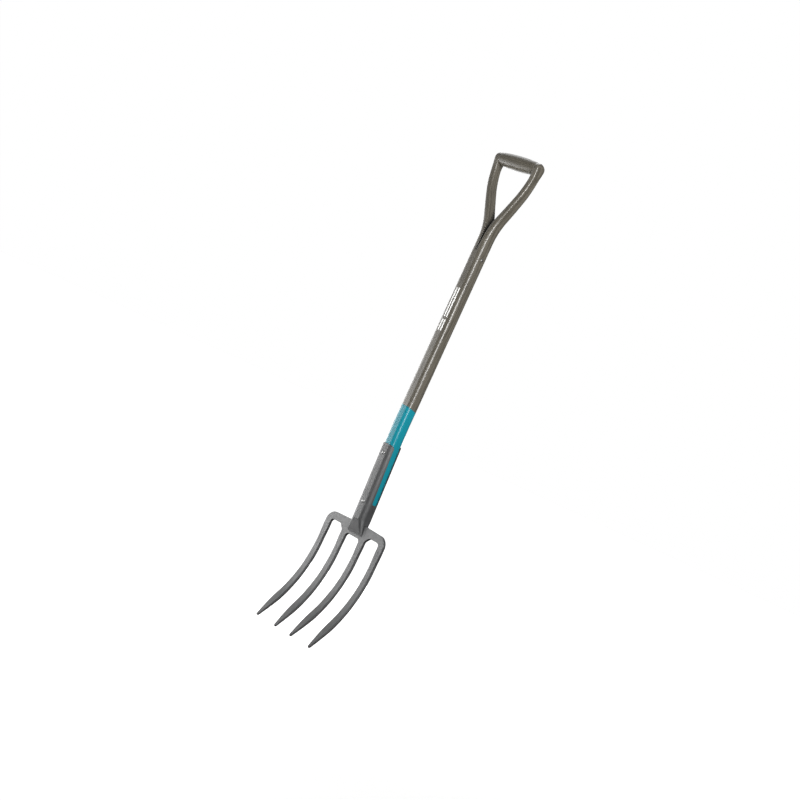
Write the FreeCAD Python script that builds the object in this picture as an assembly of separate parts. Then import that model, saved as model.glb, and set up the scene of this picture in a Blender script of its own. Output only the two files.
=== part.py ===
import FreeCAD, Part
import math
import os

# Digging fork with four curved tines, a two-strap riveted socket and a split wooden
# D handle. Lengths are in millimetres. Heights are measured up from the tine tips
# while the pieces are built; place() then moves the origin to the height of the grip,
# on the line of the shaft. X runs across the tines and the tines curve towards -Y.

# Overall
GRIP_HEIGHT = 1152.6

# Shaft
SHAFT_WIDTH = 32.3
SHAFT_DEPTH = 31.7
SHAFT_CORNER = 10.4
SHAFT_FOOT = 298.0
LEAN_DEGREES = 2.73
BEND_HEIGHT = 497.0
BEND_LENGTH = 70.0
STRAIGHT_FROM = 560.0

# Split handle
SLIT_BOTTOM = 940.0
SLIT_HALF_WIDTH = 0.8
SLIT_TOP_HALF_WIDTH = 2.1
ARMS_SPREAD_FROM = 963.0
SPREAD_DEGREES = 25.5
LOWER_ARM_RADIUS = 150.0
UPPER_ARM_RADIUS = 211.0
ARM_TOP_X = 61.7
ARM_MID_THICKNESS = 14.0
ARM_TOP_THICKNESS = 14.5
ARM_TOP_DEPTH = 22.6
ARM_EYE_DEPTH = 27.8
ARM_EYE_CORNER = 0.8
EYE_FLARE = 26.0
ARM_TOP_CORNER = 5.0
ARM_INNER_CORNER = 0.8
ARM_END_RISE = 13.9
ARM_END_SHRINK = 8.0
HANDLE_FORWARD = 2.7
FORWARD_FROM = 970.0
FORWARD_TO = 1115.0

# Grip
GRIP_RADIUS = 17.3
GRIP_END_RADIUS = 15.6
GRIP_SHOULDER_RADIUS = 13.8
GRIP_EASING = 12.0
GRIP_SHOULDER_X = 54.4
TENON_RADIUS = 7.0
TENON_END_X = 66.0
PIN_RADIUS = 1.5
PIN_LENGTH = 22.0
PIN_SUNK = 0.3
PIN_X = 60.7

# Socket straps
STRAP_THICKNESS = 2.4
STRAP_CLEARANCE = 0.15
STRAP_TOP = 474.0
FRONT_STRAP_TOP = 468.7
REAR_STRAP_TOP = 471.5
STRAP_TOP_CORNER = 9.0
FLARE_TOP = 290.0
FLARE_FOOT = 256.5
FOOT_WIDTH = 49.0
WINDOW_BOTTOM = 330.0
WINDOW_TOP_FRONT = -9.6
WINDOW_TOP_REAR = 9.0
WINDOW_FOOT_FRONT = -5.6
WINDOW_FOOT_REAR = 10.6
WINDOW_CORNER = 3.0
SEAM_LOW = 306.0
SEAM_WIDTH = 0.4
SEAM_DROP = 3.0
SEAM_FOOT_SHIFT = 2.0
SMALLEST_STRAP_VOLUME = 500.0

# Fork head
BAR_THICKNESS = 7.0
BAR_CENTRE_Y = 9.0
TREAD_HEIGHT = 281.0
TREAD_END_HEIGHT = 278.4
TREAD_FLAT_X = 28.0
TREAD_BLEND = 40.0
OUTER_CORNER = 24.5
OUTER_GAP_TOP = 261.5
OUTER_GAP_CORNER = 8.0
GAP_SLOPE = 11.5
GAP_SLOPE_WIDTH = 11.0
GAP_SLOPE_CORNERS = (6.0, 7.0)
MIDDLE_GAP_TOP = 249.0
MIDDLE_GAP_CORNER = 8.5
STUB_BOTTOM = 240.0
TINE_WIDTH = 17.6
TINE_MID_WIDTH = 20.8
BAR_EDGE = 1.2
TINE_EDGE = 2.8
TINE_TAPER = 62.0
TAPER_POWER = 1.45
TAPER_END_WIDTH = 6.4
TAPER_END_DEPTH = 4.0
TIP_SHOULDER = (1.0, 5.2, 3.4)
TIP_END = (0.2, 3.6, 2.4)
OUTER_TINE_X = 92.0
INNER_TINE_X = 31.5
OUTER_TIP_X = 94.0
INNER_TIP_X = 27.9
CURVE_FROM = 211.0
CURVE_RADIUS = 288.6
CURVE_DEGREES = 32.3

# Rivets
RIVET_SHANK = 2.5
RIVET_HEAD = 4.0
RIVET_HEAD_RISE = 2.3
RIVET_TAIL_RISE = 1.6
RIVET_HEIGHTS = {"strap_rivet_upper": 446.8, "strap_rivet_lower": 330.6}
SPLIT_RIVET_HEIGHT = 923.0
SPLIT_SHANK = 2.25
SPLIT_HEAD = 4.0
SPLIT_HEAD_RISE = 1.6
SPLIT_TAIL = 3.4
SPLIT_TAIL_RISE = 1.2
BURR_RADIUS = 5.0
BURR_THICKNESS = 1.2
BURR_ROUNDING = 0.4

# How far a cutting block reaches past the piece it cuts
CUT_REACH = 60.0
CUT_MARGIN = 10.0

Z_AXIS = FreeCAD.Vector(0, 0, 1)
X_AXIS = FreeCAD.Vector(1, 0, 0)
Y_AXIS = FreeCAD.Vector(0, 1, 0)


def vector(x, y, z):
    return FreeCAD.Vector(x, y, z)


def smooth_step(t):
    t = min(max(t, 0.0), 1.0)
    return t * t * (3.0 - 2.0 * t)


def mix(a, b, t):
    return a + (b - a) * t


def outline_wire(corners):
    """A closed wire through corner points, each rounded by its own radius with a tangent arc."""
    edges = []
    ends = []
    count = len(corners)
    for i in range(count):
        point, radius = corners[i]
        before = (corners[i - 1][0] - point).normalize()
        after = (corners[(i + 1) % count][0] - point).normalize()
        if radius <= 0:
            ends.append((point, None, point))
            continue
        half = before.getAngle(after) / 2.0
        reach = radius / math.tan(half)
        inward = (before + after).normalize()
        middle = point + inward * (radius / math.sin(half) - radius)
        ends.append((point + before * reach, middle, point + after * reach))
    for i in range(count):
        start, middle, end = ends[i]
        if middle is not None:
            edges.append(Part.Arc(start, middle, end).toShape())
        following = ends[(i + 1) % count][0]
        if (following - end).Length > 1e-6:
            edges.append(Part.LineSegment(end, following).toShape())
    return Part.Wire(edges)


def rounded_section(centre, along_width, along_depth, width, depth, radii):
    """A rounded rectangle about a centre; radii go round from the (-, -) corner."""
    signs = [(-1, -1), (1, -1), (1, 1), (-1, 1)]
    corners = []
    for (sign_w, sign_d), radius in zip(signs, radii):
        point = centre + along_width * (sign_w * width / 2.0) + along_depth * (sign_d * depth / 2.0)
        corners.append((point, radius))
    return outline_wire(corners)


def loft(sections, ruled=False):
    return Part.makeLoft(sections, True, ruled)


def flat_prism(points, direction):
    """A solid from a closed list of points, extruded along a direction."""
    wire = Part.makePolygon(points + [points[0]])
    return Part.Face(wire).extrude(direction)


# ---------------------------------------------------------------- shaft


def shaft_y(height):
    """How far the lower shaft leans back at a height, with a soft bend above the socket."""
    slope = math.tan(math.radians(LEAN_DEGREES))
    below = BEND_HEIGHT + BEND_LENGTH / 2.0 - height
    if below <= 0:
        return 0.0
    if below < BEND_LENGTH:
        return slope * below * below / (2.0 * BEND_LENGTH)
    return slope * (below - BEND_LENGTH / 2.0)


def level_section(height, width, depth, radius, centre_y):
    centre = vector(0, centre_y, height)
    return rounded_section(centre, X_AXIS, Y_AXIS, width, depth, [radius] * 4)


def shaft_trunk():
    """The undivided shaft: a leaning foot that bends softly into the straight length."""
    heights = [SHAFT_FOOT, 340, 380, 420, 455, 480, 500, 520, 540, STRAIGHT_FROM]
    sections = [
        level_section(h, SHAFT_WIDTH, SHAFT_DEPTH, SHAFT_CORNER, shaft_y(h)) for h in heights
    ]
    foot = loft(sections)
    top_wire = level_section(STRAIGHT_FROM, SHAFT_WIDTH, SHAFT_DEPTH, SHAFT_CORNER, 0)
    straight = Part.Face(top_wire).extrude(Z_AXIS * (SLIT_BOTTOM - STRAIGHT_FROM))
    return foot.fuse(straight)


def slit_half(height):
    """Half the width of the split at a height: a wedge that opens towards the arms."""
    t = (height - SLIT_BOTTOM) / (ARMS_SPREAD_FROM - SLIT_BOTTOM)
    return mix(SLIT_HALF_WIDTH, SLIT_TOP_HALF_WIDTH, min(max(t, 0.0), 1.0))


def arm_path(height):
    """Centre x and outward slope angle of an arm at a height: an arc, a straight, an arc."""
    start_x = SHAFT_WIDTH / 4.0 + slit_half(height) / 2.0
    spread = math.radians(SPREAD_DEGREES)
    low_end = ARMS_SPREAD_FROM + LOWER_ARM_RADIUS * math.sin(spread)
    high_end = GRIP_HEIGHT + 5.0
    high_start = high_end - UPPER_ARM_RADIUS * math.sin(spread)
    if height <= ARMS_SPREAD_FROM:
        return start_x, 0.0
    if height <= low_end:
        angle = math.asin((height - ARMS_SPREAD_FROM) / LOWER_ARM_RADIUS)
        return start_x + LOWER_ARM_RADIUS * (1.0 - math.cos(angle)), angle
    if height >= high_end:
        return ARM_TOP_X, 0.0
    if height >= high_start:
        angle = math.asin((high_end - height) / UPPER_ARM_RADIUS)
        return ARM_TOP_X - UPPER_ARM_RADIUS * (1.0 - math.cos(angle)), angle
    low_x = start_x + LOWER_ARM_RADIUS * (1.0 - math.cos(spread))
    high_x = ARM_TOP_X - UPPER_ARM_RADIUS * (1.0 - math.cos(spread))
    t = (height - low_end) / (high_start - low_end)
    return mix(low_x, high_x, t), spread


def arm_y(height):
    """The handle stands slightly forward of the shaft's line."""
    t = (height - FORWARD_FROM) / (FORWARD_TO - FORWARD_FROM)
    return -HANDLE_FORWARD * smooth_step(t)


def arm_size(height):
    """Thickness, depth, outer and inner corner radius of an arm at a height."""
    start = SHAFT_WIDTH / 2.0 - slit_half(height)
    t = (height - ARMS_SPREAD_FROM) / (GRIP_HEIGHT - 30.0 - ARMS_SPREAD_FROM)
    t = min(max(t, 0.0), 1.0)
    if t < 0.6:
        thickness = mix(start, ARM_MID_THICKNESS, smooth_step(t / 0.6))
    else:
        thickness = mix(ARM_MID_THICKNESS, ARM_TOP_THICKNESS, smooth_step((t - 0.6) / 0.4))
    depth = mix(SHAFT_DEPTH, ARM_TOP_DEPTH, t)
    eye = smooth_step((height - GRIP_HEIGHT + EYE_FLARE) / EYE_FLARE)
    depth += (ARM_EYE_DEPTH - ARM_TOP_DEPTH) * eye
    outer = mix(SHAFT_CORNER, ARM_TOP_CORNER, smooth_step(1.6 * t))
    inner = mix(ARM_INNER_CORNER, ARM_TOP_CORNER, smooth_step(1.6 * t))
    inner = mix(inner, ARM_EYE_CORNER, eye)
    return thickness, depth, outer, inner


def arm_section(height, shrink=0.0):
    """A section square to the arm. shrink runs from 0 to 1 over the rounded end."""
    x, angle = arm_path(height)
    thickness, depth, outer, inner = arm_size(height)
    across = vector(math.cos(angle), 0, -math.sin(angle))
    left = math.sqrt(1.0 - shrink * shrink)
    narrow = ARM_END_SHRINK * (1.0 - left)
    depth = depth * left
    outer = min(outer, 0.45 * depth)
    inner = min(inner, 0.45 * depth)
    centre = vector(x - narrow / 2.0, arm_y(height), height)
    return rounded_section(
        centre, across, Y_AXIS, thickness - narrow, depth, [inner, outer, outer, inner]
    )


def right_arm():
    """Half of the split, from the slit's bottom to the rounded end beside the grip."""
    heights = [SLIT_BOTTOM, SLIT_BOTTOM + 12.0, ARMS_SPREAD_FROM]
    heights += [ARMS_SPREAD_FROM + step for step in (12, 24, 38, 52, 66, 82, 100, 118, 136, 154, 172)]
    heights += [GRIP_HEIGHT - EYE_FLARE / 4.0, GRIP_HEIGHT]
    sections = [arm_section(h) for h in heights]
    for degrees in (18, 34, 48, 60, 70, 78):
        rise = math.sin(math.radians(degrees))
        sections.append(arm_section(GRIP_HEIGHT + ARM_END_RISE * rise, rise))
    return loft(sections)


def mirrored(shape):
    return shape.mirror(vector(0, 0, 0), X_AXIS)


def shaft():
    arm = right_arm()
    body = shaft_trunk().fuse([arm, mirrored(arm)])
    body = body.cut(grip_blank())
    for side in (-1, 1):
        body = body.cut(pin_hole(side))
    for name in RIVET_HEIGHTS:
        body = body.cut(strap_rivet(RIVET_HEIGHTS[name]))
    body = body.cut(split_rivet())
    return body.removeSplitter()


# ---------------------------------------------------------------- grip


def grip_blank():
    """Turned barrel eased down to the arms, with a tenon at each end, about its own axis."""
    shoulder = GRIP_SHOULDER_X
    eased = shoulder - GRIP_EASING
    drop = GRIP_END_RADIUS - GRIP_SHOULDER_RADIUS
    easing = (GRIP_EASING * GRIP_EASING + drop * drop) / (2.0 * drop)
    half_angle = math.asin(GRIP_EASING / easing) / 2.0
    mid_x = eased + easing * math.sin(half_angle)
    mid_radius = GRIP_END_RADIUS - easing * (1.0 - math.cos(half_angle))
    belly = Part.Arc(
        vector(-eased, 0, GRIP_END_RADIUS), vector(0, 0, GRIP_RADIUS), vector(eased, 0, GRIP_END_RADIUS)
    )
    right_end = Part.Arc(
        vector(eased, 0, GRIP_END_RADIUS),
        vector(mid_x, 0, mid_radius),
        vector(shoulder, 0, GRIP_SHOULDER_RADIUS),
    )
    left_end = Part.Arc(
        vector(-shoulder, 0, GRIP_SHOULDER_RADIUS),
        vector(-mid_x, 0, mid_radius),
        vector(-eased, 0, GRIP_END_RADIUS),
    )
    path = [
        vector(shoulder, 0, GRIP_SHOULDER_RADIUS),
        vector(shoulder, 0, TENON_RADIUS),
        vector(TENON_END_X, 0, TENON_RADIUS),
        vector(TENON_END_X, 0, 0),
        vector(-TENON_END_X, 0, 0),
        vector(-TENON_END_X, 0, TENON_RADIUS),
        vector(-shoulder, 0, TENON_RADIUS),
        vector(-shoulder, 0, GRIP_SHOULDER_RADIUS),
    ]
    edges = [belly.toShape(), right_end.toShape()]
    edges += [Part.LineSegment(a, b).toShape() for a, b in zip(path, path[1:])]
    edges += [left_end.toShape()]
    face = Part.Face(Part.Wire(edges))
    solid = face.revolve(vector(0, 0, 0), X_AXIS, 360)
    solid.translate(vector(0, -HANDLE_FORWARD, GRIP_HEIGHT))
    return solid


def grip():
    body = grip_blank()
    for side in (-1, 1):
        body = body.cut(pin_hole(side))
    return body


def pin_front():
    """Where a pin's front end lies, just under the front of the arm."""
    return -HANDLE_FORWARD - ARM_EYE_DEPTH / 2.0 + PIN_SUNK


def grip_pin(side):
    """A headless steel pin, driven from the front through the arm and its tenon."""
    start = vector(side * PIN_X, pin_front(), GRIP_HEIGHT)
    return Part.makeCylinder(PIN_RADIUS, PIN_LENGTH, start, Y_AXIS)


def pin_hole(side):
    """The blind hole of a pin, open at the front of the arm."""
    start = vector(side * PIN_X, pin_front() - CUT_MARGIN, GRIP_HEIGHT)
    return Part.makeCylinder(PIN_RADIUS, PIN_LENGTH + CUT_MARGIN, start, Y_AXIS)


# ---------------------------------------------------------------- socket straps


def shell_section(height, inset):
    """Outline of the socket at a height, moved in by inset."""
    if height >= FLARE_TOP:
        width = SHAFT_WIDTH
        depth = SHAFT_DEPTH
        radius = SHAFT_CORNER
        centre_y = shaft_y(height)
        grow = 2.0 * (STRAP_CLEARANCE + STRAP_THICKNESS - inset)
    else:
        width = FOOT_WIDTH - 2.0 * STRAP_THICKNESS
        depth = BAR_THICKNESS
        radius = 0.8
        centre_y = BAR_CENTRE_Y
        grow = 2.0 * (STRAP_THICKNESS - inset)
    return level_section(height, width + grow, depth + grow, radius + grow / 2.0, centre_y)


def socket_shell():
    """The hollow socket, before it is divided into a front and a rear strap."""
    heights = [STRAP_TOP, FLARE_TOP, FLARE_FOOT]
    outer = loft([shell_section(h, 0) for h in heights], ruled=True)
    inner = loft([shell_section(h, STRAP_THICKNESS) for h in heights], ruled=True)
    return outer.cut(inner)


def side_opening():
    """The window on each side through which the shaft shows, with rounded lower corners."""
    top = STRAP_TOP + CUT_MARGIN
    foot = WINDOW_BOTTOM
    corners = [
        (vector(-CUT_REACH, shaft_y(foot) + WINDOW_FOOT_FRONT, foot), WINDOW_CORNER),
        (vector(-CUT_REACH, shaft_y(foot) + WINDOW_FOOT_REAR, foot), WINDOW_CORNER),
        (vector(-CUT_REACH, shaft_y(top) + WINDOW_TOP_REAR, top), 0),
        (vector(-CUT_REACH, shaft_y(top) + WINDOW_TOP_FRONT, top), 0),
    ]
    return Part.Face(outline_wire(corners)).extrude(X_AXIS * (2.0 * CUT_REACH))


def seam():
    """The joint line on each side: down from the window, slanting back, then to the crossbar."""
    foot = WINDOW_BOTTOM
    start_y = shaft_y(foot) + WINDOW_FOOT_FRONT + WINDOW_CORNER
    back_y = shaft_y(SEAM_LOW) + WINDOW_FOOT_REAR
    line = [
        (start_y, foot + WINDOW_CORNER),
        (start_y, foot - SEAM_DROP),
        (back_y, SEAM_LOW),
        (back_y, FLARE_TOP),
        (BAR_CENTRE_Y + SEAM_FOOT_SHIFT, TREAD_HEIGHT),
        (BAR_CENTRE_Y, FLARE_FOOT - CUT_MARGIN),
    ]
    half = SEAM_WIDTH / 2.0
    front = [vector(-CUT_REACH, y - half, z) for y, z in line]
    rear = [vector(-CUT_REACH, y + half, z) for y, z in reversed(line)]
    return flat_prism(front + rear, X_AXIS * (2.0 * CUT_REACH))


def strap_top_trim(top):
    """What a strap keeps: a block whose upper corners are rounded in the front view."""
    half = SHAFT_WIDTH / 2.0 + STRAP_THICKNESS + STRAP_CLEARANCE + 0.01
    wide = half + CUT_MARGIN
    y = -CUT_REACH
    shoulder = FLARE_TOP + CUT_MARGIN
    foot = FLARE_FOOT - CUT_MARGIN
    corners = [
        (vector(-half, y, top), STRAP_TOP_CORNER),
        (vector(half, y, top), STRAP_TOP_CORNER),
        (vector(half, y, shoulder), 0),
        (vector(wide, y, shoulder), 0),
        (vector(wide, y, foot), 0),
        (vector(-wide, y, foot), 0),
        (vector(-wide, y, shoulder), 0),
        (vector(-half, y, shoulder), 0),
    ]
    return Part.Face(outline_wire(corners)).extrude(Y_AXIS * (2.0 * CUT_REACH))


def straps(head):
    """The front and the rear strap, fitted round the crossbar."""
    shell = socket_shell().cut([side_opening(), seam(), head])
    halves = [s for s in shell.Solids if s.Volume > SMALLEST_STRAP_VOLUME]
    halves.sort(key=lambda s: s.CenterOfMass.y)
    front = halves[0].common(strap_top_trim(FRONT_STRAP_TOP))
    rear = halves[-1].common(strap_top_trim(REAR_STRAP_TOP))
    for name in RIVET_HEIGHTS:
        rivet = strap_rivet(RIVET_HEIGHTS[name])
        front = front.cut(rivet)
        rear = rear.cut(rivet)
    return front, rear


# ---------------------------------------------------------------- fork head


def bar_plate():
    """The crossbar with the roots of the four tines, from one flat outline."""
    outer = OUTER_TINE_X + TINE_WIDTH / 2.0
    outer_in = OUTER_TINE_X - TINE_WIDTH / 2.0
    inner_out = INNER_TINE_X + TINE_WIDTH / 2.0
    inner_in = INNER_TINE_X - TINE_WIDTH / 2.0
    right = [
        (TREAD_FLAT_X, TREAD_HEIGHT, TREAD_BLEND),
        (outer, TREAD_END_HEIGHT, OUTER_CORNER),
        (outer, STUB_BOTTOM, 0),
        (outer_in, STUB_BOTTOM, 0),
        (outer_in, OUTER_GAP_TOP, OUTER_GAP_CORNER),
        (inner_out + GAP_SLOPE_WIDTH, OUTER_GAP_TOP, GAP_SLOPE_CORNERS[0]),
        (inner_out, OUTER_GAP_TOP - GAP_SLOPE, GAP_SLOPE_CORNERS[1]),
        (inner_out, STUB_BOTTOM, 0),
        (inner_in, STUB_BOTTOM, 0),
        (inner_in, MIDDLE_GAP_TOP, MIDDLE_GAP_CORNER),
    ]
    y = BAR_CENTRE_Y - BAR_THICKNESS / 2.0
    corners = [(vector(x, y, z), r) for x, z, r in right]
    corners += [(vector(-x, y, z), r) for x, z, r in reversed(right)]
    plate = Part.Face(outline_wire(corners)).extrude(Y_AXIS * BAR_THICKNESS)
    rims = []
    for edge in plate.Edges:
        box = edge.BoundBox
        flat = box.YLength < 1e-6
        if flat and box.ZMax > STUB_BOTTOM + 1e-3:
            rims.append(edge)
    return plate.makeFillet(BAR_EDGE, rims)


def tine_point(distance):
    """Centre (y, height) and angle of a tine, by distance down its length from the stub."""
    lead = STUB_BOTTOM - CURVE_FROM
    sweep = math.radians(CURVE_DEGREES)
    arc = CURVE_RADIUS * sweep
    if distance <= lead:
        return BAR_CENTRE_Y, STUB_BOTTOM - distance, 0.0
    if distance <= lead + arc:
        angle = (distance - lead) / CURVE_RADIUS
        y = BAR_CENTRE_Y - CURVE_RADIUS * (1.0 - math.cos(angle))
        return y, CURVE_FROM - CURVE_RADIUS * math.sin(angle), angle
    run = distance - lead - arc
    y = BAR_CENTRE_Y - CURVE_RADIUS * (1.0 - math.cos(sweep)) - run * math.sin(sweep)
    height = CURVE_FROM - CURVE_RADIUS * math.sin(sweep) - run * math.cos(sweep)
    return y, height, sweep


def tine_length():
    """Length of a tine's centre line, from the stub down to height 0."""
    sweep = math.radians(CURVE_DEGREES)
    arc_end = CURVE_FROM - CURVE_RADIUS * math.sin(sweep)
    return STUB_BOTTOM - CURVE_FROM + CURVE_RADIUS * sweep + arc_end / math.cos(sweep)


def tine(root_x, tip_x):
    """One tine: full section down the curve, a long taper, then a small blunt tip."""
    length = tine_length()
    lead = STUB_BOTTOM - CURVE_FROM
    body = length - TINE_TAPER
    stations = [(distance, TINE_WIDTH, BAR_THICKNESS) for distance in (0.0, lead / 2.0, lead)]
    steps = 8
    for i in range(1, steps + 1):
        t = i / steps
        width = mix(TINE_WIDTH, TINE_MID_WIDTH, t)
        stations.append((mix(lead, body, t), width, BAR_THICKNESS))
    for t in (0.22, 0.44, 0.66, 0.84, 0.95):
        width = mix(TINE_MID_WIDTH, TAPER_END_WIDTH, t ** TAPER_POWER)
        depth = mix(BAR_THICKNESS, TAPER_END_DEPTH, t)
        stations.append((body + TINE_TAPER * t, width, depth))
    for from_end, width, depth in (TIP_SHOULDER, TIP_END):
        stations.append((length - from_end, width, depth))
    sections = []
    for distance, width, depth in stations:
        y, height, angle = tine_point(distance)
        t = distance / length
        centre = vector(mix(root_x, tip_x, t * t), y, height)
        square = vector(0, math.cos(angle), -math.sin(angle))
        edge = mix(BAR_EDGE, TINE_EDGE, smooth_step(distance / lead))
        radius = min(edge, 0.4 * depth)
        sections.append(rounded_section(centre, X_AXIS, square, width, depth, [radius] * 4))
    return loft(sections)


def fork_head():
    right_outer = tine(OUTER_TINE_X, OUTER_TIP_X)
    right_inner = tine(INNER_TINE_X, INNER_TIP_X)
    tines = [right_outer, right_inner, mirrored(right_outer), mirrored(right_inner)]
    return bar_plate().fuse(tines).removeSplitter()


# ---------------------------------------------------------------- rivets


def domed_rivet(shank, head, rise, grip_length, tail, tail_rise):
    """A rivet along +Z: dome head from z = 0 up, shank below it, peened tail at the far end."""
    sphere = (head * head + rise * rise) / (2.0 * rise)
    dome_angle = math.asin(head / sphere) / 2.0
    dome_mid = vector(sphere * math.sin(dome_angle), 0, rise - sphere * (1.0 - math.cos(dome_angle)))
    bulge = (tail * tail + tail_rise * tail_rise) / (2.0 * tail_rise)
    tail_angle = math.asin(tail / bulge) / 2.0
    tail_z = -grip_length - tail_rise + bulge * (1.0 - math.cos(tail_angle))
    tail_mid = vector(bulge * math.sin(tail_angle), 0, tail_z)
    low = -grip_length
    edges = [
        Part.Arc(vector(0, 0, rise), dome_mid, vector(head, 0, 0)).toShape(),
        Part.LineSegment(vector(head, 0, 0), vector(shank, 0, 0)).toShape(),
        Part.LineSegment(vector(shank, 0, 0), vector(shank, 0, low)).toShape(),
        Part.LineSegment(vector(shank, 0, low), vector(tail, 0, low)).toShape(),
        Part.Arc(vector(tail, 0, low), tail_mid, vector(0, 0, low - tail_rise)).toShape(),
        Part.LineSegment(vector(0, 0, low - tail_rise), vector(0, 0, rise)).toShape(),
    ]
    return Part.Face(Part.Wire(edges)).revolve(vector(0, 0, 0), Z_AXIS, 360)


def strap_rivet(height):
    """Through both straps and the leaning shaft, square to the shaft, head at the front."""
    lean = math.radians(LEAN_DEGREES)
    depth = SHAFT_DEPTH + 2.0 * (STRAP_THICKNESS + STRAP_CLEARANCE)
    grip_length = depth * math.cos(lean)
    solid = domed_rivet(
        RIVET_SHANK, RIVET_HEAD, RIVET_HEAD_RISE, grip_length, RIVET_HEAD, RIVET_TAIL_RISE
    )
    forward = vector(0, -math.cos(lean), -math.sin(lean))
    turn = FreeCAD.Rotation(Z_AXIS, forward)
    start = vector(0, shaft_y(height), height) + forward * (grip_length / 2.0)
    solid.Placement = FreeCAD.Placement(start, turn)
    return solid


def split_rivet():
    """Across the shaft under the slit, head on the +X side, peened over the burr at -X."""
    grip_length = SHAFT_WIDTH + BURR_THICKNESS
    solid = domed_rivet(
        SPLIT_SHANK, SPLIT_HEAD, SPLIT_HEAD_RISE, grip_length, SPLIT_TAIL, SPLIT_TAIL_RISE
    )
    turn = FreeCAD.Rotation(Z_AXIS, X_AXIS)
    solid.Placement = FreeCAD.Placement(vector(SHAFT_WIDTH / 2.0, 0, SPLIT_RIVET_HEIGHT), turn)
    return solid


def split_rivet_burr():
    start = vector(-SHAFT_WIDTH / 2.0, 0, SPLIT_RIVET_HEIGHT)
    disc = Part.makeCylinder(BURR_RADIUS, BURR_THICKNESS, start, X_AXIS * -1.0)
    outside = start.x - BURR_THICKNESS
    rim = [e for e in disc.Edges if e.BoundBox.XMax < outside + 1e-3]
    disc = disc.makeFillet(BURR_ROUNDING, rim)
    return disc.cut(split_rivet())


# ---------------------------------------------------------------- assembly


def place(shape):
    """Moves a finished piece so that the origin is level with the grip."""
    placed = shape.copy()
    placed.translate(vector(0, 0, -GRIP_HEIGHT))
    return placed


def export(name, shape):
    if shape.ShapeType != "Solid":
        solids = shape.Solids
        shape = solids[0] if len(solids) == 1 else Part.makeCompound(solids)
    placed = place(shape)
    box = placed.BoundBox
    print(
        f"{name}: valid {placed.isValid()}, solids {len(placed.Solids)}, "
        f"volume {placed.Volume:.0f}, "
        f"x {box.XMin:.1f}..{box.XMax:.1f}, y {box.YMin:.1f}..{box.YMax:.1f}, "
        f"z {box.ZMin:.1f}..{box.ZMax:.1f}"
    )
    placed.exportStep(f"parts/{name}.step")


def main():
    os.makedirs("parts", exist_ok=True)
    head = fork_head()
    front, rear = straps(head)
    export("fork_head", head)
    export("front_strap", front)
    export("rear_strap", rear)
    export("shaft", shaft())
    export("grip", grip())
    export("grip_pin_left", grip_pin(-1))
    export("grip_pin_right", grip_pin(1))
    for name in RIVET_HEIGHTS:
        export(name, strap_rivet(RIVET_HEIGHTS[name]))
    export("split_rivet", split_rivet())
    export("split_rivet_burr", split_rivet_burr())


main()
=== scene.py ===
import math

import bmesh
import bpy
from mathutils import Matrix, Vector


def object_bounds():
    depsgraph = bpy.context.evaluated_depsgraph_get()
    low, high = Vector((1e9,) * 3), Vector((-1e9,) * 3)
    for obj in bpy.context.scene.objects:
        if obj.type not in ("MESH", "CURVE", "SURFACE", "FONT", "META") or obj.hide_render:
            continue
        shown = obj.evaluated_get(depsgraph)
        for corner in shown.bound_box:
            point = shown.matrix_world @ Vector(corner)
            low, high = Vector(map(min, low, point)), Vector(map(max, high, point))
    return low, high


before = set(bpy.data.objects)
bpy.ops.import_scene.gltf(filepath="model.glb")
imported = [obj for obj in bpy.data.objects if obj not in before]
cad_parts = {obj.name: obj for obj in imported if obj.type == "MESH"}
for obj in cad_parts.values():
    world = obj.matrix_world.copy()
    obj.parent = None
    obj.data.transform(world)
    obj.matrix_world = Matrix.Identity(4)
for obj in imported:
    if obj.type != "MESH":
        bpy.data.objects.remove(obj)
cad_low, cad_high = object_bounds()

# The split handle of the CAD model, in metres. Heights are measured up from the tine tips
GRIP_HEIGHT = 1.1526
ARMS_SPREAD_FROM = 0.963
SPREAD = math.radians(25.5)
LOWER_ARM_RADIUS = 0.150
UPPER_ARM_RADIUS = 0.211
UPPER_ARC_END = GRIP_HEIGHT + 0.005
ARM_START_X = 0.009125
ARM_TOP_X = 0.0617
ARM_TRAVEL = ARM_TOP_X - ARM_START_X
CURVE_STEPS = 12

# From here on z is measured from the grip's axis, as in the CAD nodes
FLOOR_Z = cad_low.z
FLOOR_GAP = 0.0005
STAGE_RADIUS = 24.0

# The split: the reach of its dirt and painted shade to either side of the middle, and its ends
# in z
DIRT_AND_SHADE_REACH = (0.0034, 0.0019)
DIRT_AND_SHADE_FOOT_Z = (-0.2140, -0.2120)
DIRT_AND_SHADE_TOP_Z = (-0.130, -0.170)
DIRT_AND_SHADE_DEPTH = 0.92

# Where the lacquer ends: its height at the shaft's axis, how its edge slants and wavers,
# how sharp the edge is, and the thicker bead of lacquer along it
PAINT_EDGE_Z = -0.5941
PAINT_SLOPE_X = -0.07
PAINT_SLOPE_Y = -0.21
PAINT_RIPPLE = 0.0016
PAINT_SOFTNESS = 0.00025
BEAD_FROM = -0.0022
BEAD_TO = -0.0004

# The two printed stripes on the front of the shaft, and the break across them
MARK_LOW_Z = -0.409
MARK_HIGH_Z = -0.305
STRIPE_X = 0.0036
STRIPE_HALF_WIDTH = (0.00185, 0.00165)
STRIPE_END_SOFTNESS = 0.0003
BREAK_Z = MARK_LOW_Z + 0.030
BREAK_HALF_HEIGHT = (0.0028, 0.0031)
FRONT_Y = (-0.0140, -0.0150)

# Ash: the growth rings' pitch and how far off the piece their centre lies
RING_PITCH = 0.0027
RING_CENTRE = (-0.034, -0.011)
RING_WANDER = 0.012

# Heights between which the tines grow duller and then more worn
DULL_Z = (-0.97, -1.12)
WEAR_Z = (-0.99, -1.14)

# Bump distances
GRAIN_DEPTH = 0.00022
FILM_DEPTH = 0.00012
TURNING_DEPTH = 0.00010
COATING_DEPTH = 0.00030
SWIRL_DEPTH = 0.00008

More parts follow.
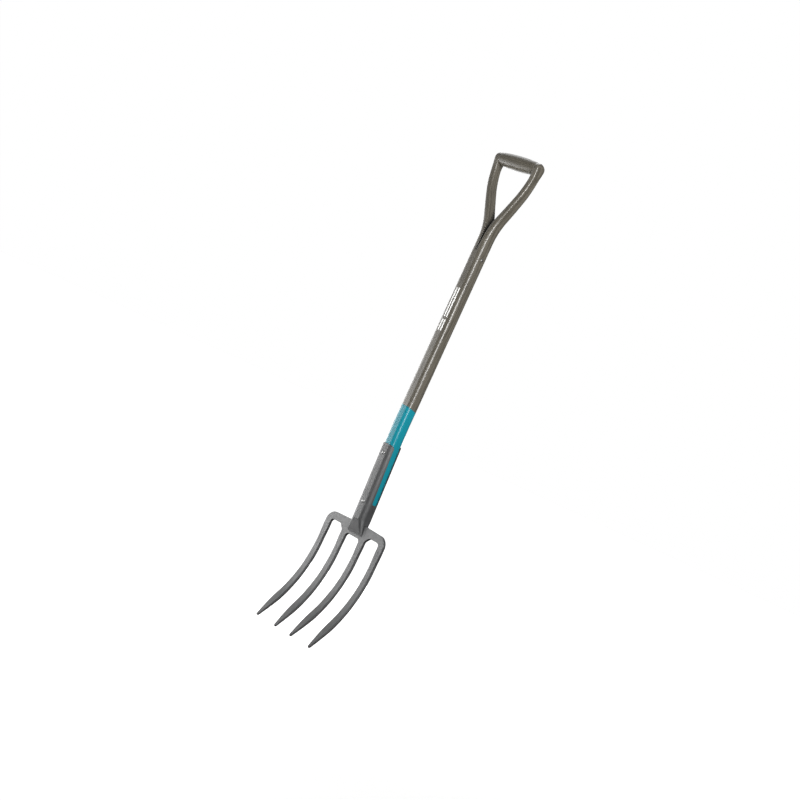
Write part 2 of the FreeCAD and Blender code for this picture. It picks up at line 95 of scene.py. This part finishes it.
# Colours, as linear RGB
ASH_DARK = (0.038, 0.034, 0.026)
ASH_LIGHT = (0.119, 0.108, 0.087)
SPLIT_DIRT_AND_SHADE = (0.005, 0.004, 0.003)
LACQUER_DARK = (0.004, 0.168, 0.216)
LACQUER_LIGHT = (0.006, 0.196, 0.250)
LACQUER_BEAD = (0.002, 0.085, 0.112)
PRINT_WHITE = (0.78, 0.78, 0.76)
COATING_DARK = (0.020, 0.0205, 0.0215)
COATING_LIGHT = (0.050, 0.0505, 0.052)
WORN_COATING = (0.12, 0.12, 0.119)
SATIN_DARK = (0.30, 0.30, 0.295)
SATIN_LIGHT = (0.42, 0.42, 0.415)
DULL_DARK = (0.10, 0.098, 0.094)
DULL_LIGHT = (0.17, 0.167, 0.160)
FLOOR_WHITE = (0.80, 0.80, 0.795)

# Light: the world's level all round, and what the side behind on the left adds
WORLD_DIM = 0.17
WORLD_BEHIND = 1.10

# Camera
CAMERA_AHEAD = Vector((-0.70711, 0.70711, 0.0))
CAMERA_RIGHT = Vector((0.70711, 0.70711, 0.0))
CAMERA_DISTANCE = 4.098
CAMERA_SIDE = -0.0256
CAMERA_Z = -0.5682
CAMERA_PITCH = math.radians(0.24)
CAMERA_ROLL = math.radians(24.55)
CAMERA_LENS = 83.16


# ---------------------------------------------------------------- node helpers


def new_material(name):
    material = bpy.data.materials.new(name)
    material.use_nodes = True
    tree = material.node_tree
    tree.nodes.clear()
    output = tree.nodes.new("ShaderNodeOutputMaterial")
    shader = tree.nodes.new("ShaderNodeBsdfPrincipled")
    tree.links.new(shader.outputs[0], output.inputs[0])
    return material, tree, shader


def feed(tree, socket, value):
    """Links a socket to another, or sets its number."""
    if isinstance(value, bpy.types.NodeSocket):
        tree.links.new(value, socket)
    else:
        socket.default_value = value


def calc(tree, operation, *values):
    node = tree.nodes.new("ShaderNodeMath")
    node.operation = operation
    for socket, value in zip(node.inputs, values):
        feed(tree, socket, value)
    return node.outputs[0]


def product(tree, *values):
    total = values[0]
    for value in values[1:]:
        total = calc(tree, "MULTIPLY", total, value)
    return total


def distance_from(tree, value, centre):
    return calc(tree, "ABSOLUTE", calc(tree, "SUBTRACT", value, centre))


def weighted_sum(tree, *terms):
    """Adds up (value, weight) pairs."""
    (value, weight), *others = terms
    total = calc(tree, "MULTIPLY", value, weight)
    for value, weight in others:
        total = calc(tree, "MULTIPLY_ADD", value, weight, total)
    return total


def position(tree):
    """The x, y and z of the surface point in the part's frame."""
    place = tree.nodes.new("ShaderNodeTexCoord")
    split = tree.nodes.new("ShaderNodeSeparateXYZ")
    tree.links.new(place.outputs["Object"], split.inputs[0])
    return split.outputs[0], split.outputs[1], split.outputs[2]


def vector_of(tree, x, y, z):
    node = tree.nodes.new("ShaderNodeCombineXYZ")
    for socket, value in zip(node.inputs, (x, y, z)):
        feed(tree, socket, value)
    return node.outputs[0]


def stretched(tree, vector, scale):
    node = tree.nodes.new("ShaderNodeVectorMath")
    node.operation = "MULTIPLY"
    tree.links.new(vector, node.inputs[0])
    node.inputs[1].default_value = scale
    return node.outputs[0]


def noise(tree, vector, scale, detail, roughness=0.5, distortion=0.0):
    node = tree.nodes.new("ShaderNodeTexNoise")
    tree.links.new(vector, node.inputs["Vector"])
    node.inputs["Scale"].default_value = scale
    node.inputs["Detail"].default_value = detail
    node.inputs["Roughness"].default_value = roughness
    node.inputs["Distortion"].default_value = distortion
    return node.outputs["Fac"]


def remap(tree, value, low, high, new_low=0.0, new_high=1.0, smooth=True):
    """Takes low..high to new_low..new_high. low may be above high, for a falling edge."""
    node = tree.nodes.new("ShaderNodeMapRange")
    node.interpolation_type = "SMOOTHSTEP" if smooth else "LINEAR"
    for socket, number in zip(node.inputs, (value, low, high, new_low, new_high)):
        feed(tree, socket, number)
    return node.outputs[0]


def mix_colour(tree, factor, a, b):
    node = tree.nodes.new("ShaderNodeMix")
    node.data_type = "RGBA"
    feed(tree, node.inputs[0], factor)
    for socket, value in ((node.inputs[6], a), (node.inputs[7], b)):
        feed(tree, socket, value if isinstance(value, bpy.types.NodeSocket) else (*value, 1.0))
    return node.outputs[2]


def mix_value(tree, factor, a, b):
    node = tree.nodes.new("ShaderNodeMix")
    feed(tree, node.inputs[0], factor)
    feed(tree, node.inputs[2], a)
    feed(tree, node.inputs[3], b)
    return node.outputs[0]


def bump(tree, height, distance, strength, under=None):
    """Relief, on top of the relief under it if there is one."""
    node = tree.nodes.new("ShaderNodeBump")
    node.inputs["Strength"].default_value = strength
    node.inputs["Distance"].default_value = distance
    tree.links.new(height, node.inputs["Height"])
    if under is not None:
        tree.links.new(under, node.inputs["Normal"])
    return node.outputs[0]


# ---------------------------------------------------------------- wood


def arm_shift(height):
    """How far an arm has moved out from the closed split at a height."""
    low_end = ARMS_SPREAD_FROM + LOWER_ARM_RADIUS * math.sin(SPREAD)
    high_start = UPPER_ARC_END - UPPER_ARM_RADIUS * math.sin(SPREAD)
    low_x = LOWER_ARM_RADIUS * (1.0 - math.cos(SPREAD))
    high_x = ARM_TRAVEL - UPPER_ARM_RADIUS * (1.0 - math.cos(SPREAD))
    if height <= low_end:
        angle = math.asin((height - ARMS_SPREAD_FROM) / LOWER_ARM_RADIUS)
        return LOWER_ARM_RADIUS * (1.0 - math.cos(angle))
    if height >= high_start:
        angle = math.asin((UPPER_ARC_END - height) / UPPER_ARM_RADIUS)
        return ARM_TRAVEL - UPPER_ARM_RADIUS * (1.0 - math.cos(angle))
    t = (height - low_end) / (high_start - low_end)
    return low_x + (high_x - low_x) * t


def straightened_x(tree, x, z):
    """x with the spread of the arms taken out, so that the grain follows them."""
    low_z = ARMS_SPREAD_FROM - GRIP_HEIGHT
    up = remap(tree, z, low_z, 0.0, smooth=False)
    curve = tree.nodes.new("ShaderNodeFloatCurve")
    tree.links.new(up, curve.inputs["Value"])
    points = curve.mapping.curves[0].points
    for i in range(1, CURVE_STEPS):
        share = i / CURVE_STEPS
        points.new(share, arm_shift(ARMS_SPREAD_FROM - low_z * share) / ARM_TRAVEL)
    points[0].location = (0.0, 0.0)
    points[-1].location = (1.0, arm_shift(GRIP_HEIGHT) / ARM_TRAVEL)
    curve.mapping.update()
    shift = calc(tree, "MULTIPLY", curve.outputs[0], ARM_TRAVEL)
    side = calc(tree, "SIGN", x)
    return calc(tree, "SUBTRACT", x, calc(tree, "MULTIPLY", side, shift))


def ash_grain(tree, across_a, across_b, along):
    """Colour, roughness and relief of stained ash, by position across and along the piece."""

    def drawn_out(share):
        return vector_of(tree, across_a, across_b, calc(tree, "MULTIPLY", along, share))

    fibre_space = drawn_out(0.022)
    fibres = noise(tree, fibre_space, scale=620.0, detail=4.0, roughness=0.6)
    pore_field = noise(tree, fibre_space, scale=1500.0, detail=2.0)
    wander = noise(tree, drawn_out(0.16), scale=34.0, detail=2.0)
    cloud = noise(tree, drawn_out(0.35), scale=26.0, detail=2.0)

    off_a = calc(tree, "SUBTRACT", across_a, RING_CENTRE[0])
    off_b = calc(tree, "SUBTRACT", across_b, RING_CENTRE[1])
    squares = calc(tree, "POWER", off_a, 2.0), calc(tree, "POWER", off_b, 2.0)
    radius = calc(tree, "SQRT", calc(tree, "ADD", *squares))
    radius = calc(tree, "MULTIPLY_ADD", wander, RING_WANDER, radius)
    ring = calc(tree, "FRACT", calc(tree, "DIVIDE", radius, RING_PITCH))
    early = product(tree, remap(tree, ring, 0.0, 0.10), remap(tree, ring, 0.48, 0.16))
    pores = remap(tree, pore_field, 0.56, 0.70)
    pores = product(tree, pores, calc(tree, "MULTIPLY_ADD", early, 0.75, 0.25))

    tone = weighted_sum(tree, (fibres, 0.62), (early, -0.20), (cloud, 0.55), (pores, -0.40))
    colour = mix_colour(tree, remap(tree, tone, 0.18, 0.86, smooth=False), ASH_DARK, ASH_LIGHT)
    roughness = weighted_sum(tree, (fibres, 0.16), (pores, 0.16), (cloud, 0.12))
    roughness = calc(tree, "ADD", roughness, 0.22)
    relief = weighted_sum(tree, (fibres, 0.45), (pores, -0.85), (early, -0.25))
    return colour, roughness, relief


def varnish(shader):
    shader.inputs["Specular IOR Level"].default_value = 0.1
    shader.inputs["Coat Roughness"].default_value = 0.30


def split_dirt_and_shade(tree, straight, z):
    """How much dirt and painted shade darken the lips and the walls of the split."""
    inside = remap(tree, calc(tree, "ABSOLUTE", straight), *DIRT_AND_SHADE_REACH)
    above = remap(tree, z, *DIRT_AND_SHADE_FOOT_Z)
    below = remap(tree, z, *DIRT_AND_SHADE_TOP_Z)
    return product(tree, inside, above, below)


def lacquer_cover(tree, x, y, z):
    """Where the lacquer lies, and where it stands thicker along its edge."""
    slant = weighted_sum(tree, (z, 1.0), (x, -PAINT_SLOPE_X), (y, -PAINT_SLOPE_Y))
    ripple = noise(tree, vector_of(tree, x, y, 0.0), scale=120.0, detail=1.0)
    line = calc(tree, "MULTIPLY_ADD", ripple, PAINT_RIPPLE, PAINT_EDGE_Z - PAINT_RIPPLE / 2.0)
    edge = calc(tree, "SUBTRACT", slant, line)
    painted = remap(tree, edge, PAINT_SOFTNESS, -PAINT_SOFTNESS)
    bead = product(tree, painted, remap(tree, edge, BEAD_FROM, BEAD_TO))
    return painted, bead


def printed_stripes(tree, x, y, z):
    """Two plain stripes along the front of the shaft, broken once and slightly worn."""
    stripes = remap(
        tree, distance_from(tree, calc(tree, "ABSOLUTE", x), STRIPE_X), *STRIPE_HALF_WIDTH
    )
    middle = (MARK_LOW_Z + MARK_HIGH_Z) / 2.0
    reach = (MARK_HIGH_Z - MARK_LOW_Z) / 2.0
    within = remap(tree, distance_from(tree, z, middle), reach, reach - STRIPE_END_SOFTNESS)
    unbroken = remap(tree, distance_from(tree, z, BREAK_Z), *BREAK_HALF_HEIGHT)
    front = remap(tree, y, *FRONT_Y)
    worn = noise(tree, vector_of(tree, x, y, z), scale=900.0, detail=2.0)
    kept = remap(tree, worn, 0.16, 0.26)
    return product(tree, stripes, within, unbroken, front, kept)


def shaft_material():
    """Grey-stained ash whose lower end is dipped in teal lacquer."""
    material, tree, shader = new_material("stained_ash_and_lacquer")
    x, y, z = position(tree)
    straight = straightened_x(tree, x, z)
    colour, roughness, relief = ash_grain(tree, straight, y, z)
    dirt_and_shade = split_dirt_and_shade(tree, straight, z)
    painted, bead = lacquer_cover(tree, x, y, z)
    mark = printed_stripes(tree, x, y, z)

    flow = vector_of(tree, x, y, calc(tree, "MULTIPLY", z, 0.3))
    lacquer_tone = noise(tree, flow, scale=60.0, detail=3.0)
    lacquer = mix_colour(tree, lacquer_tone, LACQUER_DARK, LACQUER_LIGHT)
    lacquer = mix_colour(tree, product(tree, bead, 0.35), lacquer, LACQUER_BEAD)
    # Dirt and painted shade darken the lips and walls of the split here
    colour = mix_colour(tree, product(tree, dirt_and_shade, DIRT_AND_SHADE_DEPTH), colour, SPLIT_DIRT_AND_SHADE)
    colour = mix_colour(tree, mark, colour, PRINT_WHITE)
    colour = mix_colour(tree, painted, colour, lacquer)
    lacquer_rough = calc(tree, "MULTIPLY_ADD", lacquer_tone, 0.06, 0.22)
    roughness = mix_value(tree, painted, roughness, lacquer_rough)
    roughness = mix_value(tree, mark, roughness, 0.42)
    tree.links.new(colour, shader.inputs["Base Color"])
    tree.links.new(roughness, shader.inputs["Roughness"])
    varnish(shader)
    gloss = calc(tree, "MULTIPLY_ADD", painted, -0.38, 0.84)
    tree.links.new(gloss, shader.inputs["Coat Weight"])

    # The varnish fills the grain, so its surface is calmer than the wood under it
    quiet = calc(tree, "MULTIPLY_ADD", painted, -0.96, 1.0)
    quiet_relief = product(tree, relief, quiet)
    film = weighted_sum(tree, (painted, 1.0), (bead, 0.8), (mark, 0.25))
    for socket, grain_strength in (("Normal", 0.8), ("Coat Normal", 0.3)):
        grain = bump(tree, quiet_relief, GRAIN_DEPTH, grain_strength)
        tree.links.new(bump(tree, film, FILM_DEPTH, 1.0, grain), shader.inputs[socket])
    return material


def grip_material():
    """The same ash, turned, with the grain along the barrel and faint tool rings."""
    material, tree, shader = new_material("stained_ash_turned")
    x, y, z = position(tree)
    colour, roughness, relief = ash_grain(tree, z, y, x)
    rings = noise(tree, vector_of(tree, x, 0.0, 0.0), scale=700.0, detail=1.0)
    tree.links.new(colour, shader.inputs["Base Color"])
    tree.links.new(roughness, shader.inputs["Roughness"])
    varnish(shader)
    shader.inputs["Coat Weight"].default_value = 0.28
    turned = bump(tree, rings, TURNING_DEPTH, 0.35)
    tree.links.new(bump(tree, relief, GRAIN_DEPTH, 0.8, turned), shader.inputs["Normal"])
    return material


# ---------------------------------------------------------------- metal


def coated_steel(name, grain, smoothest, index, scuffed):
    """Fine textured grey coating. scuffed dulls and wears it towards the tine points."""
    material, tree, shader = new_material(name)
    x, y, z = position(tree)
    space = vector_of(tree, x, y, z)
    fine = noise(tree, space, scale=grain, detail=5.0, roughness=0.68)
    speckle = noise(tree, space, scale=grain * 2.4, detail=2.0)
    cloud = noise(tree, space, scale=42.0, detail=3.0, roughness=0.55)
    tone = weighted_sum(tree, (fine, 0.50), (speckle, 0.28), (cloud, 0.40))
    tone = remap(tree, tone, 0.34, 0.82, smooth=False)
    colour = mix_colour(tree, tone, COATING_DARK, COATING_LIGHT)
    roughness = weighted_sum(tree, (fine, 0.22), (cloud, 0.18))
    roughness = calc(tree, "ADD", roughness, smoothest)
    height = weighted_sum(tree, (fine, 0.7), (speckle, 0.3))
    if scuffed:
        sheen = remap(tree, z, *DULL_Z, 0.85, 0.45)
        tree.links.new(sheen, shader.inputs["Specular IOR Level"])
        lengthwise = stretched(tree, space, (1.0, 0.10, 0.06))
        streaks = noise(tree, lengthwise, scale=900.0, detail=3.0, roughness=0.6)
        wear = product(
            tree,
            remap(tree, z, *WEAR_Z),
            remap(tree, streaks, 0.52, 0.66),
            remap(tree, cloud, 0.40, 0.62),
        )
        colour = mix_colour(tree, product(tree, wear, 0.22), colour, WORN_COATING)
        roughness = calc(tree, "MULTIPLY_ADD", wear, -0.10, roughness)
        height = calc(tree, "MULTIPLY_ADD", wear, -0.35, height)
    else:
        shader.inputs["Specular IOR Level"].default_value = 0.85
    tree.links.new(colour, shader.inputs["Base Color"])
    tree.links.new(roughness, shader.inputs["Roughness"])
    tree.links.new(bump(tree, height, COATING_DEPTH, 0.55), shader.inputs["Normal"])
    shader.inputs["Metallic"].default_value = 0.15
    shader.inputs["IOR"].default_value = index
    return material


def bare_steel(name, dark, light, smoothest):
    """Uncoated steel with faint swirls from the tool that set it."""
    material, tree, shader = new_material(name)
    x, y, z = position(tree)
    space = vector_of(tree, x, y, z)
    swirl = noise(tree, space, scale=700.0, detail=3.0, roughness=0.6, distortion=0.6)
    cloud = noise(tree, space, scale=260.0, detail=2.0)
    colour = mix_colour(tree, remap(tree, cloud, 0.35, 0.65), dark, light)
    roughness = calc(tree, "MULTIPLY_ADD", swirl, 0.22, smoothest)
    tree.links.new(colour, shader.inputs["Base Color"])
    tree.links.new(roughness, shader.inputs["Roughness"])
    tree.links.new(bump(tree, swirl, SWIRL_DEPTH, 0.5), shader.inputs["Normal"])
    shader.inputs["Metallic"].default_value = 1.0
    return material


# ---------------------------------------------------------------- dressing the CAD nodes


def dress(material, *nodes):
    for node in nodes:
        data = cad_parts[node].data
        data.materials.clear()
        data.materials.append(material)


wood = shaft_material()
head_steel = coated_steel("coated_forging", 1100.0, 0.32, 1.56, scuffed=True)
strap_steel = coated_steel("coated_strap", 1300.0, 0.38, 1.62, scuffed=False)
rivet_steel = bare_steel("rivet_steel_satin", SATIN_DARK, SATIN_LIGHT, 0.28)
pin_steel = bare_steel("pin_steel_dull", DULL_DARK, DULL_LIGHT, 0.45)

dress(wood, "shaft")
dress(grip_material(), "grip")
dress(head_steel, "fork_head")
dress(strap_steel, "front_strap", "rear_strap")
dress(rivet_steel, "strap_rivet_upper", "strap_rivet_lower")
dress(pin_steel, "split_rivet", "split_rivet_burr", "grip_pin_left", "grip_pin_right")


# ---------------------------------------------------------------- floor, light and camera


def plain_material(name, colour, near, far):
    """A matt stage surface that glows from near at the middle to far in the distance."""
    material, tree, shader = new_material(name)
    x, y, z = position(tree)
    away = tree.nodes.new("ShaderNodeVectorMath")
    away.operation = "LENGTH"
    tree.links.new(vector_of(tree, x, y, 0.0), away.inputs[0])
    glow = remap(tree, away.outputs["Value"], 0.9, 3.4, near, far)
    tree.links.new(glow, shader.inputs["Emission Strength"])
    shader.inputs["Base Color"].default_value = (*colour, 1.0)
    shader.inputs["Roughness"].default_value = 0.9
    shader.inputs["Specular IOR Level"].default_value = 0.1
    shader.inputs["Emission Color"].default_value = (1.0, 1.0, 1.0, 1.0)
    return material


def stage_object(name, form, material):
    """Turns a bmesh into a stage object that neither lights the part nor shows in its gloss."""
    mesh = bpy.data.meshes.new(name)
    form.to_mesh(mesh)
    form.free()
    mesh.materials.append(material)
    made = bpy.data.objects.new(name, mesh)
    bpy.context.scene.collection.objects.link(made)
    made.visible_diffuse = False
    made.visible_glossy = False
    return made


def make_floor():
    form = bmesh.new()
    bmesh.ops.create_circle(form, cap_ends=True, segments=96, radius=STAGE_RADIUS)
    bmesh.ops.translate(form, verts=form.verts, vec=(0.0, 0.0, FLOOR_Z - FLOOR_GAP))
    return stage_object("floor", form, plain_material("floor_white", FLOOR_WHITE, 0.62, 0.95))


def make_dome():
    """A plain bright surround that only the camera sees."""
    form = bmesh.new()
    bmesh.ops.create_uvsphere(form, u_segments=64, v_segments=32, radius=STAGE_RADIUS)
    white = plain_material("surround_white", (0.0, 0.0, 0.0), 1.0, 1.0)
    dome = stage_object("surround", form, white)
    dome.visible_transmission = False
    dome.visible_volume_scatter = False
    dome.visible_shadow = False
    return dome


def make_world():
    """A white room behind the object on the left, dim elsewhere and dimmer from below."""
    world = bpy.data.worlds.new("studio")
    bpy.context.scene.world = world
    world.use_nodes = True
    tree = world.node_tree
    tree.nodes.clear()
    output = tree.nodes.new("ShaderNodeOutputWorld")
    background = tree.nodes.new("ShaderNodeBackground")
    tree.links.new(background.outputs[0], output.inputs[0])
    place = tree.nodes.new("ShaderNodeTexCoord")
    towards = tree.nodes.new("ShaderNodeSeparateXYZ")
    tree.links.new(place.outputs["Generated"], towards.inputs[0])
    behind = weighted_sum(tree, (towards.outputs[0], -0.94), (towards.outputs[1], 0.34))
    bright = remap(tree, behind, 0.50, 0.98)
    above = remap(tree, towards.outputs[2], -0.50, 0.30, 0.45, 1.0)
    level = product(tree, calc(tree, "MULTIPLY_ADD", bright, WORLD_BEHIND, WORLD_DIM), above)
    tree.links.new(level, background.inputs["Strength"])
    background.inputs["Color"].default_value = (1.0, 1.0, 1.0, 1.0)


def area_light(name, place, target, width, height, radiance):
    """A rectangular softbox of a given brightness, aimed at a point."""
    data = bpy.data.lights.new(name, "AREA")
    data.shape = "RECTANGLE"
    data.size = width
    data.size_y = height
    data.energy = radiance * math.pi * width * height
    lamp = bpy.data.objects.new(name, data)
    bpy.context.scene.collection.objects.link(lamp)
    lamp.location = place
    lamp.rotation_mode = "QUATERNION"
    lamp.rotation_quaternion = (Vector(target) - Vector(place)).to_track_quat("-Z", "Y")
    lamp.visible_camera = False
    return data


def fade(data, rightmost, foot, lit_from, lit_to, top):
    """Brightness over a softbox: changes to rightmost across it, to foot below and top above."""
    data.use_nodes = True
    tree = data.node_tree
    tree.nodes.clear()
    output = tree.nodes.new("ShaderNodeOutputLight")
    emission = tree.nodes.new("ShaderNodeEmission")
    tree.links.new(emission.outputs[0], output.inputs[0])
    shape = tree.nodes.new("ShaderNodeNewGeometry")
    along = tree.nodes.new("ShaderNodeSeparateXYZ")
    tree.links.new(shape.outputs["Parametric"], along.inputs[0])
    level = product(
        tree,
        remap(tree, along.outputs[0], 0.0, 1.0, 1.0, rightmost, smooth=False),
        remap(tree, along.outputs[1], 0.0, lit_from, foot, 1.0),
        remap(tree, along.outputs[1], lit_to, 1.0, 1.0, top),
    )
    tree.links.new(level, emission.inputs["Strength"])


def make_lights():
    left_softbox = area_light(
        "left_softbox", place=(-1.03, -0.80, -0.70), target=(0.0, 0.0, -0.70),
        width=1.3, height=1.4, radiance=12.5,
    )
    fade(left_softbox, rightmost=0.0, foot=1.0, lit_from=0.1, lit_to=0.33, top=0.12)
    right_strip = area_light(
        "right_strip", place=(0.802, -0.409, -0.29), target=(0.0, 0.0, -0.29),
        width=0.21, height=1.22, radiance=28.0,
    )
    fade(right_strip, rightmost=1.0, foot=0.05, lit_from=0.36, lit_to=0.9, top=1.0)
    area_light(
        "back_softbox", place=(-1.25, 0.85, -0.60), target=(0.0, 0.0, -0.60),
        width=1.3, height=1.4, radiance=2.4,
    )
    area_light(
        "ceiling", place=(-1.1, 0.5, 1.6), target=(0.0, 0.0, -0.2),
        width=1.4, height=1.4, radiance=3.0,
    )


def make_camera():
    level_up = Vector((0.0, 0.0, 1.0))
    look = CAMERA_AHEAD * math.cos(CAMERA_PITCH) - level_up * math.sin(CAMERA_PITCH)
    look.normalize()
    up = CAMERA_RIGHT.cross(look)
    rolled_right = CAMERA_RIGHT * math.cos(CAMERA_ROLL) + up * math.sin(CAMERA_ROLL)
    rolled_up = up * math.cos(CAMERA_ROLL) - CAMERA_RIGHT * math.sin(CAMERA_ROLL)
    turn = Matrix((rolled_right, rolled_up, -look)).transposed()
    place = CAMERA_RIGHT * CAMERA_SIDE - CAMERA_AHEAD * CAMERA_DISTANCE + level_up * CAMERA_Z
    data = bpy.data.cameras.new("camera")
    data.sensor_width = 36.0
    data.lens = CAMERA_LENS
    data.clip_end = 80.0
    camera = bpy.data.objects.new("camera", data)
    bpy.context.scene.collection.objects.link(camera)
    camera.matrix_world = Matrix.Translation(place) @ turn.to_4x4()
    bpy.context.scene.camera = camera


make_floor()
make_dome()
make_world()
make_lights()
make_camera()
bpy.context.scene.view_settings.view_transform = "Standard"
